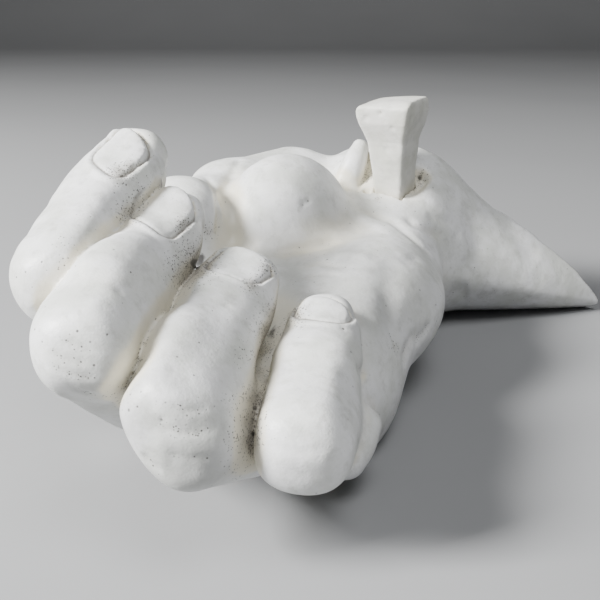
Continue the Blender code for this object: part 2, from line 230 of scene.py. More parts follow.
def finger_bones(f):
    M, P, Q, R = (np.array(f[k], float) for k in "MPQR")
    across = unit(np.cross(P - M, Q - P))
    out = []
    for i, (a, b) in enumerate(((M, P), (P, Q), (Q, R))):
        back = np.cross(unit(b - a), across)
        w, up, down = f["w"][i], f["up"][i], f["down"][i]
        if i == 2:
            c, s = math.cos(f["roll"]), math.sin(f["roll"])
            back = back * c + across * s
            tip = w[2] * 0.82
            out.append(Bone(a, b - unit(b - a) * tip, back, w, up, down, w[0] * 0.8, tip, 2.4))
        else:
            out.append(Bone(a, b, back, w, up, down, w[0] * 0.9, w[2] * 0.88, 2.3 if i == 0 else 2.5,
                            f.get("planes", ()) if i == 1 else ()))
    return out


BONES = {k: finger_bones(f) for k, f in FINGERS.items()}
PALM = [Bone(FINGERS[k]["M"], e, (0, 0, -1), (10.5, 10.5, 12), (12.5, 17, 20), (12, 16, 14), 9, 10, 2.2)
        for k, e in PALM_ENDS.items()] + [Swell((-8, -5, 12), (30, 20, 21), (0, 1, 0))]
HEEL = [Swell((10.3, 2.8, 21), (25, 15.5, 14.3), (0, -1, 0)), Swell((11.7, -25.8, 13), (18, 11.5, 17), (0, -1, 0))]
THUMB_BALL = [Swell((-20.6, 15.9, 30.8), (23, 15.9, 24.2), (-0.28, -0.94, 0))]
_a, _b, _c, _d = THUMB
THUMB_BONES = [Bone(_a, _b, (0, 0, 1), (14.2, 13.5, 12.2), (14.3, 13.2, 12.4), (15, 14, 13), 12, 11),
               Bone(_b, _c, (0, 0, 1), (11.7, 10.4, 10.5), (11.7, 9.2, 8.7), (12, 11, 11), 11, 10),
               Bone(_c, _d, (0, 0.5, 1), (10.1, 10.3, 9), (9.9, 8.4, 8.2), (10, 9, 8), 10, 8)]
WRIST = [Bone((-8, 29, 20), (-6, 61, 24), (0, 0, 1), (26, 25, 25.6), (17, 22.3, 24.5), (20, 22, 23), 12, 10, 2.6),
         Bone((-7, 51.5, 23.2), (5.9, 103.4, 20.5), (0, 0, 1), (24, 23.8, 24), (27, 31, 27.5), (22, 22, 20), 10, 12, 2.3),
         Bone((-1.7, 48.8, 21), (39.3, 98.6, 3), (0, 0, 1), (17, 25, 28.2), (26.4, 23.5, 26.2), (18, 14, 8), 12, 14, 1.7)]


def flesh(P, nails=False):
    """The plain forms of the hand, before nails, creases and cuts."""
    d = PALM[0](P)
    for b in PALM[1:]:
        d = smin(d, b(P), 9)
    for b in HEEL:
        d = smin(d, b(P), 8)
    for b in THUMB_BALL:
        d = smin(d, b(P), 10)
    w = WRIST[0](P)
    for b in WRIST[1:]:
        w = smin(w, b(P), 7)
    d = smin(d, w, 7)
    th = THUMB_BONES[0](P)
    th = smin(th, THUMB_BONES[1](P), 5)
    th = smin(th, THUMB_BONES[2](P), 3)
    d = smin(d, th, 5)
    fg = None
    for key, bones in BONES.items():
        a = smin(bones[0](P), bones[1](P), 2.5)
        a = smin(a, bones[2](P), 3.5)
        if key in SHOULDERS:
            a = smin(a, SHOULDERS[key](P), 3.5)
        if nails:
            m = NAILS[key].near(P)
            if m.any():
                a[m] = NAILS[key].apply(P[m], a[m])
        if fg is None:
            fg = a
        else:
            # neighbouring fingers meet in a sharp crease
            fg = smin(fg, a, 0.3) + 0.75 * np.exp(-((fg - a) / 2.1) ** 2)
    return smin(d, fg, 3.0)


# ------------------------------------------------------------------ looking along the eye's rays
def ray(u, v):
    """Direction through a point of the 600 px frame."""
    x, y = (u - 300.0) / EYE_F, (300.0 - v) / EYE_F
    ca, sa, ce, se = math.cos(EYE_AZ), math.sin(EYE_AZ), math.cos(EYE_PITCH), math.sin(EYE_PITCH)
    fwd = np.array([-sa * ce, ca * ce, -se])
    right = np.array([ca, sa, 0.0])
    up = np.array([-sa * se, ca * se, ce])
    return unit(fwd + x * right + y * up)


def pick(points, f=flesh, near=90.0):
    """Where the rays through these points of the frame meet the hand."""
    D = np.array([ray(u, v) for u, v in points])
    t = np.full(len(D), near)
    for _ in range(80):
        d = f(EYE + D * t[:, None])
        t = t + np.clip(d * 0.8, -2, 6)
    return EYE + D * t[:, None]


def at_y(u, v, y):
    """The point at a given distance along the forearm on the ray through a point of the frame."""
    d = ray(u, v)
    return EYE + d * ((y - EYE[1]) / d[1])


def in_frame(P):
    """Where points appear in the 600 px frame, and how far away they are."""
    ca, sa, ce, se = math.cos(EYE_AZ), math.sin(EYE_AZ), math.cos(EYE_PITCH), math.sin(EYE_PITCH)
    q = P - EYE
    far = q @ np.array([-sa * ce, ca * ce, -se])
    return 300 + EYE_F * (q @ np.array([ca, sa, 0.0])) / far, 300 - EYE_F * (q @ np.array([-sa * se, ca * se, ce])) / far, far


# the square shoulders of two bent fingers, each hiding part of the finger to its left
SHOULDERS = {
    "middle": Bone(at_y(104, 283, -69), at_y(125, 263, -59), (0, 0, 1), (6.2, 6.6, 5.4), (6.2, 6.6, 5.4), (7, 7, 6), 5, 3.2, 2.1),
    "ring": Bone(at_y(162, 367, -72.5), at_y(180, 339, -64), (0, 0, 1), (6.2, 6.3, 5.4), (6.2, 6.3, 5.4), (7, 7, 6), 5, 3.2, 2.1),
}


def resample(pts, gap=7.0):
    pts = np.array(pts, float)
    out = [pts[0]]
    for a, b in zip(pts[:-1], pts[1:]):
        n = max(1, int(math.ceil(np.linalg.norm(b - a) / gap)))
        out += [a + (b - a) * k / n for k in range(1, n + 1)]
    return np.array(out)


# ------------------------------------------------------------------ creases, valleys and ridges
class Line:
    """A crease drawn on the skin (its points lie in the frame); a negative depth raises a ridge. Its fourth number
    darkens the crease's colour: grime with painted shade.
    """

    def __init__(s, pts, depth, width, dirt=0.0, taper=0.25):
        s.p = pick(resample(pts))
        s.depth, s.width, s.dirt, s.taper = depth, width, dirt, taper
        s.reach = width * 2.4
        s.lo, s.hi = s.p.min(0) - s.reach, s.p.max(0) + s.reach

    def near(s, P):
        return within(s.lo, s.hi, P)

    def weight(s, P, width=None):
        width = width or s.width
        best, at = np.full(len(P), 1e9), np.zeros(len(P))
        n = len(s.p) - 1
        for k in range(n):
            a, b = s.p[k], s.p[k + 1]
            ab = b - a
            t = np.clip((P - a) @ ab / max(ab @ ab, 1e-9), 0, 1)
            r = P - a - t[:, None] * ab
            q = np.einsum("ij,ij->i", r, r)
            m = q < best
            best[m], at[m] = q[m], (k + t[m]) / n
        if s.taper:
            end = np.clip(np.minimum(at, 1 - at) / s.taper, 0, 1)
            end = end * end * (3 - 2 * end)
        else:
            end = 1.0
        return np.exp(-best / width ** 2) * end


LINES = [
    # thumb tip against the thumb's body, and the soft web below
    Line([(203, 175), (211, 182), (217, 194), (219, 214), (217, 238)], 0.8, 1.0, 0.12, 0.15),
    Line([(241, 158), (233, 170), (226, 188), (222, 206)], 0.7, 1.1, 0.12, 0.15),
    Line([(238, 164), (228, 184), (221, 212)], 0.6, 2.6),
    Line([(226, 232), (240, 240), (262, 247)], 0.5, 2.5),
    # folds of the palm
    Line([(268, 257), (292, 250), (318, 245), (345, 238)], 0.55, 1.5, 0.10),
    Line([(296, 268), (318, 262), (340, 266), (366, 268)], 0.45, 1.3, 0.08),
    Line([(300, 279), (322, 273), (346, 276)], 0.35, 0.9, 0.10),
    Line([(330, 256), (352, 254), (374, 258)], -0.35, 2.0),
    # valley that parts the heel of the palm from its floor, with a fine crack low in it
    Line([(396, 246), (390, 268), (388, 292), (390, 318), (394, 346)], 0.65, 3.0),
    Line([(389, 322), (392, 336), (396, 352)], 0.45, 0.55, 0.5),
    Line([(403, 372), (405, 352), (413, 338), (424, 328)], 0.7, 1.8, 0.12),
    Line([(432, 322), (424, 334), (414, 346)], 0.9, 1.6, 0.25),
    Line([(400, 262), (420, 258)], 0.3, 1.6),
    # wrist creases
    Line([(402, 215), (416, 225), (430, 232), (446, 238)], 0.9, 1.4, 0.10),
    Line([(424, 214), (440, 220), (456, 224)], 0.35, 1.6),
    Line([(350, 207), (370, 213), (392, 222), (410, 236), (428, 252), (438, 268)], 0.8, 1.6, 0.05),
    # forearm: a long soft hollow and the dip under it
    Line([(474, 196), (471, 220), (475, 244), (472, 264), (462, 282)], 0.75, 3.4),
    Line([(470, 290), (456, 294), (446, 298)], 0.8, 3.4),
    Line([(500, 216), (520, 240), (540, 262)], 0.6, 3.5),
    # knuckle facets, each a low crest with a shallow hollow under it
    Line([(36, 366), (60, 376), (88, 381), (118, 386)], -0.40, 2.0, 0.0, 0.2),
    Line([(55, 391), (84, 402), (116, 408)], 0.45, 2.6, 0.0, 0.2),
    Line([(146, 436), (172, 442), (200, 445), (232, 450)], -0.40, 2.0, 0.0, 0.2),
    Line([(160, 462), (192, 470), (230, 468)], 0.45, 2.6, 0.0, 0.2),
    Line([(14, 282), (24, 296), (38, 308)], -0.25, 1.8, 0.0, 0.2),
    Line([(268, 455), (300, 462), (336, 458)], -0.25, 2.0, 0.0, 0.2),
    # fine wrinkles over the knuckles
    Line([(50, 350), (66, 360), (90, 364)], 0.26, 0.6, 0.26),
    Line([(46, 361), (62, 370), (84, 376), (102, 378)], 0.32, 0.6, 0.28),
    Line([(58, 338), (78, 348), (98, 352)], 0.22, 0.6, 0.20),
    Line([(72, 388), (90, 394), (108, 398)], 0.24, 0.6, 0.20),
    Line([(62, 372), (74, 384), (80, 398)], 0.15, 0.6, 0.10),
    Line([(160, 404), (185, 411), (214, 408)], 0.24, 0.6, 0.22),
    Line([(152, 424), (180, 433), (212, 434)], 0.30, 0.6, 0.24),
    Line([(165, 454), (190, 460), (220, 458)], 0.26, 0.6, 0.20),
    Line([(190, 418), (204, 428), (224, 430)], 0.16, 0.6, 0.10),
    Line([(140, 452), (150, 464), (162, 474)], 0.55, 0.8, 0.30),
    Line([(266, 430), (292, 438), (322, 436)], 0.14, 0.6, 0.10),
    Line([(270, 446), (300, 452), (334, 448)], 0.14, 0.6, 0.10),
    # joints nearest the nails
    Line([(100, 196), (112, 206), (122, 212)], 0.2, 1.0, 0.1),
    Line([(196, 296), (222, 302), (252, 302)], 0.25, 2.0, 0.0),
    Line([(288, 338), (312, 342), (342, 340)], 0.25, 1.6, 0.0),
    Line([(356, 366), (362, 372), (366, 380)], 0.6, 1.2, 0.2),
    # tool marks beside the spike
    Line([(338, 170), (343, 184), (350, 196)], 0.30, 1.0, 0.05),
    Line([(366, 149), (368, 164), (363, 180), (356, 197)], 0.55, 0.6, 0.35),
    Line([(371, 166), (375, 180), (379, 199)], 0.35, 0.5, 0.40),
    Line([(368, 172), (366, 184), (362, 195)], 0.20, 0.45, 0.25),
    # soft facets of the wrist and the tendon's end
    Line([(352, 214), (376, 226), (398, 238)], -0.35, 2.2),
    Line([(458, 232), (464, 246), (462, 262)], -0.40, 2.4),
]
# the split in the wrist: a rolled lip, the notch beside it and the hole behind the spike
PETAL = Bone(at_y(360, 148, 46.5), at_y(347, 181, 40.0), (0.2, -1, 0.35), (2.5, 3.6, 3.8), (3.0, 4.4, 2.8), (5, 6, 5), 2.4, 4.0, 2.2)
NOTCH = Bone(at_y(371, 148, 43.5), at_y(369, 192, 38.2), (0, -1, 0.5), (0.8, 1.3, 1.5), (4.5, 3.6, 2.4), (1.2, 0.7, 0.4), 1.0, 1.2, 2.0)
# the rounded underside of the little finger's root, showing beside its middle bone
ROOT = Bone(at_y(362, 426, -44.0), at_y(346, 459, -50.0), (0.6, -0.6, 0.3), (3.8, 4.3, 3.9), (3.8, 4.3, 3.9), (6, 7, 6), 4.0, 4.0, 2.1)
DENT = Bone((7.4, 38.5, 44.8), (8.6, 48.0, 46.6), (0, 0, 1), (1.6, 2.5, 2.3), (6, 6, 6), (3.2, 4.4, 4.2), 1.5, 2.0, 2.0)
# small pits: place in the frame, radius and depth
PITS = [(303, 204, 0.7, 0.5), (308, 201, 0.6, 0.4), (227, 304, 0.6, 0.4), (343, 329, 0.5, 0.35), (120, 291, 0.8, 0.2), (161, 420, 0.6, 0.3)]
_pp = pick([q[:2] for q in PITS])


# ------------------------------------------------------------------ nails
def rounded_rect(x, y, lx, ly, r):
    qx, qy = np.abs(x) - lx + r, np.abs(y) - ly + r
    return np.minimum(np.maximum(qx, qy), 0) + np.hypot(np.maximum(qx, 0), np.maximum(qy, 0)) - r


class Nail:
    """A plate between four corners on the fingertip (free left, free right, root right, root left,
    as seen in the frame), with a groove and a low fold of skin round it."""

    def __init__(s, corners):
        fl_, fr, rr, rl = pick(corners)
        s.centre = (fl_ + fr + rr + rl) / 4
        along, across = (fl_ + fr - rr - rl) / 2, (fr + rr - fl_ - rl) / 2
        s.length, s.half = np.linalg.norm(along), np.linalg.norm(across) / 2
        s.n = unit(np.cross(along, across))
        if s.n @ ray(300, 300) > 0:
            s.n = -s.n
        basis = np.linalg.inv(np.stack([unit(along), unit(across), s.n], 1))
        s.ua, s.uc = basis[0], basis[1]
        s.reach = max(s.length, 2 * s.half) * 0.75 + 4

    def near(s, P):
        q = P - s.centre
        return np.einsum("ij,ij->i", q, q) < s.reach ** 2

    def outline(s, P):
        """Distance outside the plate's edge, how far along the plate (-1 root, 1 free edge), height."""
        q = P - s.centre
        a, c, h = q @ s.ua, q @ s.uc, q @ s.n
        # free edge arched outward, root gently arched
        a2 = np.where(a > 0, a + 0.20 * c * c / s.half - 0.7, a - 0.16 * c * c / s.half + 0.5)
        return rounded_rect(a2, c, s.length / 2, s.half, s.half * 0.40), a / (s.length / 2), h

    def apply(s, P, d):
        o, a, h = s.outline(P)
        side = step(-5.5, -3.5, h)
        free = step(0.55, 0.95, a)                      # towards the free edge
        root = step(-0.3, -1.0, a)
        lift = (0.12 + 0.45 * step(-0.9, 1.0, a)) * step(0.12, -0.28, o)
        groove = 0.62 * bump(o - 0.42, 0.42) * (1 - 0.45 * root)
        fold = 0.50 * bump(o - 1.6, 0.95) * (1 - free)
        under = 0.95 * np.exp(-np.maximum(o - 0.2, 0) / 1.6) * free * step(0.0, 0.35, o)
        flat = 0.30 * step(0.0, -s.half, o)
        return d - side * (lift - groove + fold - under - flat)


NAILS = {
    "index": Nail([(125, 127), (151, 156), (116, 180), (90, 158)]),
    "middle": Nail([(163, 188), (197, 216), (166, 238), (127, 217)]),
    "ring": Nail([(231, 247), (273, 267), (254, 287), (201, 270)]),
    "little": Nail([(303, 301), (352, 313), (346, 326), (291, 320)]),
}


# ------------------------------------------------------------------ cuts
SPIKE_TURN = math.radians(-7.5)
SPIKE_Z = np.array([33.3, 41.0, 50.5, 56.3, 61.5, 64.4, 66.8, 67.6])
SPIKE_X = np.array([3.8, 4.1, 5.0, 5.7, 7.3, 7.9, 8.0, 7.8])
SPIKE_Y = np.array([4.8, 5.5, 5.8, 6.1, 7.9, 8.1, 8.1, 7.8])


def spike_local(P):
    """Place across the spike's two faces, measured from its leaning centre line."""
    c, s = math.cos(SPIKE_TURN), math.sin(SPIKE_TURN)
    t = (P[:, 2] - SPIKE_FOOT[2]) / (SPIKE_HEAD[2] - SPIKE_FOOT[2])
    x = P[:, 0] - (SPIKE_FOOT[0] + (SPIKE_HEAD[0] - SPIKE_FOOT[0]) * t)
    y = P[:, 1] - (SPIKE_FOOT[1] + (SPIKE_HEAD[1] - SPIKE_FOOT[1]) * t)
    return c * x + s * y, -s * x + c * y


def stump(P):
    return (P - STUMP_POINT) @ STUMP_NORMAL


def cut_end(name):
    """Centre, outward direction and radius of a wire's end at the stump."""
    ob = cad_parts[name]
    V = np.array([ob.matrix_world @ v.co for v in ob.data.vertices]) / MM - SHIFT
    tip = V[np.abs(stump(V)) < 1.3]
    c = tip.mean(0)
    axis = np.linalg.svd(tip - c)[2][2]
    return c, axis * np.sign(axis @ STUMP_NORMAL), np.linalg.norm(tip - c, axis=1).max()


ENDS = [cut_end(n) for n in sorted(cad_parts) if n.startswith("wire_") or n == "forearm_rod"]


def hand(P):
    d = flesh(P, nails=True)
    m = (P[:, 0] > 8) & (P[:, 1] > -62) & (P[:, 1] < -30) & (P[:, 2] < 28)
    if m.any():
        d[m] = smin(d[m], ROOT(P[m]), 2.0)
    m = (P[:, 1] > 28) & (P[:, 1] < 56) & (P[:, 2] > 30)
    if m.any():
        Q = P[m]
        e = smin(d[m], PETAL(Q), 1.6)
        e = smax(e, -NOTCH(Q), 0.6)
        e = smax(e, -DENT(Q), 2.6)
        d[m] = e
    low, high = P.min(0), P.max(0)
    for l in LINES:
        if (low > l.hi).any() or (high < l.lo).any():
            continue
        m = l.near(P)
        if m.any():
            d[m] += l.depth * l.weight(P[m])
    for (_, _, r, deep), c in zip(PITS, _pp):
        if (low > c + 3).any() or (high < c - 3).any():
            continue
        m = within(c - 3 * r, c + 3 * r, P)
        if m.any():
            q = P[m] - c
            d[m] += deep * np.exp(-np.einsum("ij,ij->i", q, q) / r ** 2)
    # slanted forearm cut and flat underside
    m = (P[:, 1] > 45)
    if m.any():
        S = P[m]
        cut = stump(S)
        k = np.abs(cut) < 5
        if k.any():
            cut[k] += 0.55 * noise(S[k], 6.5, 11) + 0.25 * noise(S[k], 2.8, 12)
        body = smax(d[m], cut, 0.7)
        for c, axis, r in ENDS:
            # the plaster has crumbled back a little round each wire
            near = k & within(c - r - 4, c + r + 4, S)
            if near.any():
                q = S[near] - c
                t = q @ axis
                out = np.sqrt(np.maximum(np.einsum("ij,ij->i", q, q) - t * t, 0))
                e = body[near] + 0.9 * np.exp(-(out / (r + 1.6)) ** 4)
                body[near] = smax(e, -np.maximum(out - r - 0.3, -t - 2.5), 0.25)
        d[m] = body
    m = P[:, 2] < 8
    if m.any():
        d[m] = smax(d[m], -P[m, 2], 0.9)
    # socket
    q = P[:, :2] - SPIKE_AT
    m = (q[:, 0] ** 2 + q[:, 1] ** 2 < 200) & (P[:, 2] > 28)
    if m.any():
        x, y = spike_local(P[m])
        z = P[m, 2]
        s = np.maximum(np.maximum(np.abs(x) - np.interp(z, SPIKE_Z, SPIKE_X), np.abs(y) - np.interp(z, SPIKE_Z, SPIKE_Y)) - 0.2, 33.1 - z)
        d[m] = smax(d[m], -s, 0.4)
    return d


# ------------------------------------------------------------------ meshing
def surface_nets(vol, org, h):
    nx, ny, nz = vol.shape
    ins = vol < 0
    cnt = np.zeros((nx - 1, ny - 1, nz - 1), np.int8)
    for i in (0, 1):
        for j in (0, 1):
            for k in (0, 1):
                cnt += ins[i:nx - 1 + i, j:ny - 1 + j, k:nz - 1 + k]
    ii, jj, kk = np.nonzero((cnt > 0) & (cnt < 8))
    n = len(ii)
    idx = np.full(cnt.shape, -1, np.int32)
    idx[ii, jj, kk] = np.arange(n, dtype=np.int32)
    pos, w = np.zeros((n, 3)), np.zeros(n)
    corners = [(0, 0, 0), (1, 0, 0), (0, 1, 0), (1, 1, 0), (0, 0, 1), (1, 0, 1), (0, 1, 1), (1, 1, 1)]
    val = [vol[ii + a, jj + b, kk + c].astype(np.float64) for a, b, c in corners]
    for e0, e1 in ((0, 1), (2, 3), (4, 5), (6, 7), (0, 2), (1, 3), (4, 6), (5, 7), (0, 4), (1, 5), (2, 6), (3, 7)):
        a, b = val[e0], val[e1]
        m = (a < 0) != (b < 0)
        t = np.where(m, a / np.where(m, a - b, 1), 0)
        p0 = np.array(corners[e0], float)
        pos += m[:, None] * (p0 + t[:, None] * (np.array(corners[e1], float) - p0))
        w += m
    verts = (np.stack([ii, jj, kk], 1) + pos / w[:, None]) * h + org

    def quads(inside, cells):
        q = np.stack([idx[c] for c in cells], 1)
        q[~inside] = q[~inside][:, ::-1]
        return q
    faces = []
    i, j, k = np.nonzero(ins[:-1, 1:-1, 1:-1] != ins[1:, 1:-1, 1:-1]); j += 1; k += 1
    faces.append(quads(ins[i, j, k], [(i, j - 1, k - 1), (i, j, k - 1), (i, j, k), (i, j - 1, k)]))
    i, j, k = np.nonzero(ins[1:-1, :-1, 1:-1] != ins[1:-1, 1:, 1:-1]); i += 1; k += 1
    faces.append(quads(ins[i, j, k], [(i - 1, j, k - 1), (i - 1, j, k), (i, j, k), (i, j, k - 1)]))
    i, j, k = np.nonzero(ins[1:-1, 1:-1, :-1] != ins[1:-1, 1:-1, 1:]); i += 1; j += 1
    faces.append(quads(ins[i, j, k], [(i - 1, j - 1, k), (i, j - 1, k), (i, j, k), (i - 1, j, k)]))
    return verts, np.concatenate(faces)


def extract(f, lo, hi, h, coarse=4, band=1.5):
    lo, hi = np.array(lo, float), np.array(hi, float)
    H = h * coarse
    n = np.ceil((hi - lo) / H).astype(int) + 1
    g = [lo[a] + np.arange(n[a]) * H for a in range(3)]
    V = f(np.stack(np.meshgrid(*g, indexing="ij"), -1).reshape(-1, 3)).reshape(n).astype(np.float32)
    nf = (n - 1) * coarse + 1
    for a in range(3):
        t = np.arange(nf[a]) / coarse
        i0 = np.minimum(t.astype(int), V.shape[a] - 2)
        sh = [1, 1, 1]
        sh[a] = -1
        fr = (t - i0).astype(np.float32).reshape(sh)
        V = np.take(V, i0, a) * (1 - fr) + np.take(V, i0 + 1, a) * fr
    ii, jj, kk = np.nonzero(np.abs(V) < band + H * 0.6)
    P = np.stack([lo[0] + ii * h, lo[1] + jj * h, lo[2] + kk * h], 1)
    out = np.empty(len(P), np.float32)
    for s in range(0, len(P), 120000):
        out[s:s + 120000] = f(P[s:s + 120000])
    V[ii, jj, kk] = out
    return surface_nets(V, lo, h)


def largest_shell(v, q):
    """Vertices and faces of the biggest skin. Two faces belong together where an edge is theirs
    alone, so a crumb that only touches the skin along one edge is left out."""
    e = np.sort(np.stack([q, np.roll(q, -1, axis=1)], -1).reshape(-1, 2), axis=1)
    key = e[:, 0].astype(np.int64) * len(v) + e[:, 1]
    order = np.argsort(key, kind="stable")
    start = np.nonzero(np.concatenate([[True], key[order][1:] != key[order][:-1]]))[0]
    two = start[np.diff(np.append(start, len(key))) == 2]
    one, other = order[two] // 4, order[two + 1] // 4
    lab = np.arange(len(q))
    while True:
        m = np.minimum(lab[one], lab[other])
        new = lab.copy()
        for k in (one, other, lab[one], lab[other]):
            np.minimum.at(new, k, m)
        new = new[new]
        if (new == lab).all():
            break
        lab = new
    keep = q[lab == np.bincount(lab).argmax()]
    used = np.zeros(len(v), bool)
    used[keep] = True
    ren = np.cumsum(used) - 1
    return v[used], ren[keep]


def gradient(f, P, e=0.15):
    g = np.empty_like(P)
    for a in range(3):
        o = np.zeros(3)
        o[a] = e
        g[:, a] = (f(P + o) - f(P - o)) / (2 * e)
    return g


def normals_of(v, q):
    n = np.cross(v[q[:, 2]] - v[q[:, 0]], v[q[:, 3]] - v[q[:, 1]])
    out = np.zeros_like(v)
    for k in range(4):
        for a in range(3):
            out[:, a] += np.bincount(q[:, k], n[:, a], len(v))
    return out / np.maximum(np.linalg.norm(out, axis=1), 1e-12)[:, None]


def to_mesh(name, v, q, attrs=None):
    me = bpy.data.meshes.new(name)
    me.vertices.add(len(v))
    me.vertices.foreach_set("co", ((v + SHIFT) * MM).astype(np.float32).ravel())
    me.loops.add(len(q) * 4)
    me.loops.foreach_set("vertex_index", q.astype(np.int32).ravel())
    me.polygons.add(len(q))
    me.polygons.foreach_set("loop_start", np.arange(0, len(q) * 4, 4, dtype=np.int32))
    me.update()
    me.validate()
    me.shade_smooth()
    for key, val in (attrs or {}).items():
        a = me.attributes.new(key, "FLOAT", "POINT")
        a.data.foreach_set("value", np.asarray(val, np.float32))
    ob = bpy.data.objects.new(name, me)
    bpy.context.scene.collection.objects.link(ob)
    return ob


# ------------------------------------------------------------------ build the hand
H = 0.52
verts, quads_ = extract(hand, (-66, -97, -2.0), (66, 96, 72), H)
verts, quads_ = largest_shell(verts, quads_)
nrm = normals_of(verts, quads_)


def closeness(P, N, reach):
    """0 on open skin, 1 where other plaster stands within reach of the surface."""
    out = np.zeros(len(P))
    for r in reach:
        for k in range(0, len(P), 120000):
            out[k:k + 120000] += np.clip(1 - hand(P[k:k + 120000] + N[k:k + 120000] * r) / r, 0, 1)
    return out / len(reach)


def spots(P, marks):
    """Soft marks laid on the skin as the eye sees it: place in the frame, radius in mm, strength."""
    out = np.zeros(len(P))
    u, v, far = in_frame(P)
    for c, (a, b, r, k) in zip(pick([q[:2] for q in marks]), marks):
        q = P - c
        m = np.einsum("ij,ij->i", q, q) < (2.4 * r + 11.0) ** 2
        px = EYE_F / far[m]
        out[m] = np.maximum(out[m], k * np.exp(-((u[m] - a) ** 2 + (v[m] - b) ** 2) / (r * px) ** 2))
    return out


gap = closeness(verts, nrm, (2.0, 4.5, 8.0))
tight = closeness(verts, nrm, (0.8, 1.8))
# darkening along the creases: grime with painted shade
crack = np.zeros(len(verts))
for l in LINES:
    if l.dirt:
        m = l.near(verts)
        if m.any():
            crack[m] = np.maximum(crack[m], l.dirt * l.weight(verts[m], l.width * 0.9))
# grime round the nails and in the gaps; the faint spots down the ring finger's side are painted shade
grime_and_shade_spots = spots(verts, [
    (119, 174, 2.2, 0.95), (129, 168, 2.0, 0.70), (139, 185, 3.0, 0.28), (129, 212, 2.4, 0.85), (137, 203, 2.0, 0.55),
    (184, 225, 1.6, 0.90), (197, 258, 3.8, 1.00), (190, 264, 3.0, 0.95), (184, 272, 3.0, 0.75), (174, 268, 1.8, 0.50), (206, 265, 1.8, 0.95),
    (213, 256, 1.6, 0.60), (252, 284, 1.8, 0.90), (268, 268, 1.8, 0.60), (296, 315, 2.1, 0.90), (302, 309, 1.6, 0.50),
    (60, 242, 2.6, 0.16), (60, 262, 2.8, 0.20), (48, 268, 2.2, 0.14), (75, 244, 3.0, 0.12), (378, 199, 0.9, 0.70), (368, 176, 1.4, 0.40),
    (422, 177, 2.4, 0.50), (419, 184, 1.6, 0.60), (414, 191, 1.0, 0.50), (395, 347, 1.2, 0.40), (120, 398, 2.6, 0.24), (208, 231, 1.8, 0.75),
    (271, 312, 2.2, 0.80), (268, 330, 2.4, 0.90), (264, 350, 2.2, 0.75), (258, 374, 2.2, 0.80), (254, 398, 2.2, 0.80), (251, 420, 2.2, 0.75),
    (249, 442, 2.2, 0.60), (248, 355, 3.0, 0.24), (245, 400, 3.2, 0.30), (242, 440, 3.2, 0.28), (238, 470, 3.0, 0.22),
    (76, 362, 5.0, 0.11), (84, 342, 4.0, 0.09), (60, 350, 3.0, 0.12), (182, 428, 5.5, 0.11), (200, 405, 4.0, 0.09), (160, 405, 3.0, 0.10), (150, 350, 3.4, 0.08), (340, 262, 6.0, 0.08)])
# grey film: some dust in the palm, and painted shade in the palm under the fingers, under the knuckles, down the ring
# finger's side and low near the floor
grey_dust_and_shade = np.clip(spots(verts, [
    (345, 250, 12.0, 0.92), (375, 284, 11.0, 0.92), (322, 262, 9.0, 0.80), (298, 264, 7.0, 0.60), (314, 234, 7.0, 0.40), (414, 286, 8.0, 0.42),
    (186, 474, 8.5, 0.98), (214, 488, 7.0, 0.85), (84, 410, 8.5, 0.85), (58, 398, 5.5, 0.50), (120, 420, 7.0, 0.75), (300, 482, 7.0, 0.35),
    (246, 380, 4.5, 0.50), (240, 440, 6.0, 0.55), (140, 384, 6.0, 0.25)]) + 0.2 * step(8.0, 1.0, verts[:, 2]) * step(10, -10, verts[:, 1]), 0, 1)
# near-black fill: painted shade in the deep gaps between the fingers, in the hole beside the spike and along the notch,
# with some packed grime
gap_shade_and_packed_grime = spots(verts, [
    (194, 263, 0.9, 1.00), (196, 264, 1.1, 1.00), (198, 261, 1.5, 1.00), (200, 258, 1.3, 0.95), (209, 228, 0.5, 0.60), (271, 335, 1.2, 0.60), (273, 331, 0.9, 0.70), (275, 326, 0.7, 0.60),
    (266, 352, 0.5, 0.55), (257, 396, 0.5, 0.60), (255, 408, 0.6, 0.75), (254, 420, 0.6, 0.70), (253, 434, 0.6, 0.75), (420, 178, 0.9, 0.85), (422, 173, 0.6, 0.60),
    (370, 160, 0.5, 0.50), (372, 170, 0.5, 0.50), (374, 182, 0.4, 0.45), (377, 196, 0.5, 0.55)])
between = step(-28, -38, verts[:, 1]) * step(6, 16, verts[:, 2])          # only the gaps between the fingers
# colour darkening from crease grime and grime spots, plus painted shade in the gaps between the fingers where other
# plaster stands close
dirt = np.clip(crack + grime_and_shade_spots * 0.8 + 0.5 * between * step(0.4, 1.0, tight) * step(0.2, 0.8, gap), 0, 1)
sx, sy = spike_local(verts)
foot = np.exp(-(np.maximum(np.hypot(sx, sy) - 4.5, 0) / 3.2) ** 2) * step(30, 36, verts[:, 2])
# warm tint: painted shade where other plaster stands close, plus real cream slurry round the spike's foot
cream_and_gap_shade = np.clip(1.6 * step(0.06, 0.60, gap) + 0.75 * foot, 0, 1)

# hand-made unevenness: broad lumps, then finer ones; rough where the forearm was broken off
cut_face = step(1.6, 0.4, np.abs(stump(verts))) * (verts[:, 1] > 45) * step(0.55, 0.85, nrm @ STUMP_NORMAL)
lump = 0.20 * noise(verts, 13.0, 1) + 0.085 * noise(verts, 5.5, 2) + 0.035 * noise(verts, 2.3, 3)
lump = lump + cut_face * (0.20 * noise(verts, 7.0, 4) + 0.22 * noise(verts, 2.6, 5) - 0.15)
lump = lump * step(0.0, 1.5, verts[:, 2])
verts = verts + nrm * lump[:, None]
verts[:, 2] = np.maximum(verts[:, 2], 0.0)
hand_ob = to_mesh("hand_skin", verts, quads_, {"dirt": dirt, "cream": cream_and_gap_shade, "grey_dust_and_shade": grey_dust_and_shade, "gap_shade_and_packed_grime": gap_shade_and_packed_grime})
thin = hand_ob.modifiers.new("thin_out", "DECIMATE")
thin.ratio = min(1.0, 188000 / (2 * len(quads_)))


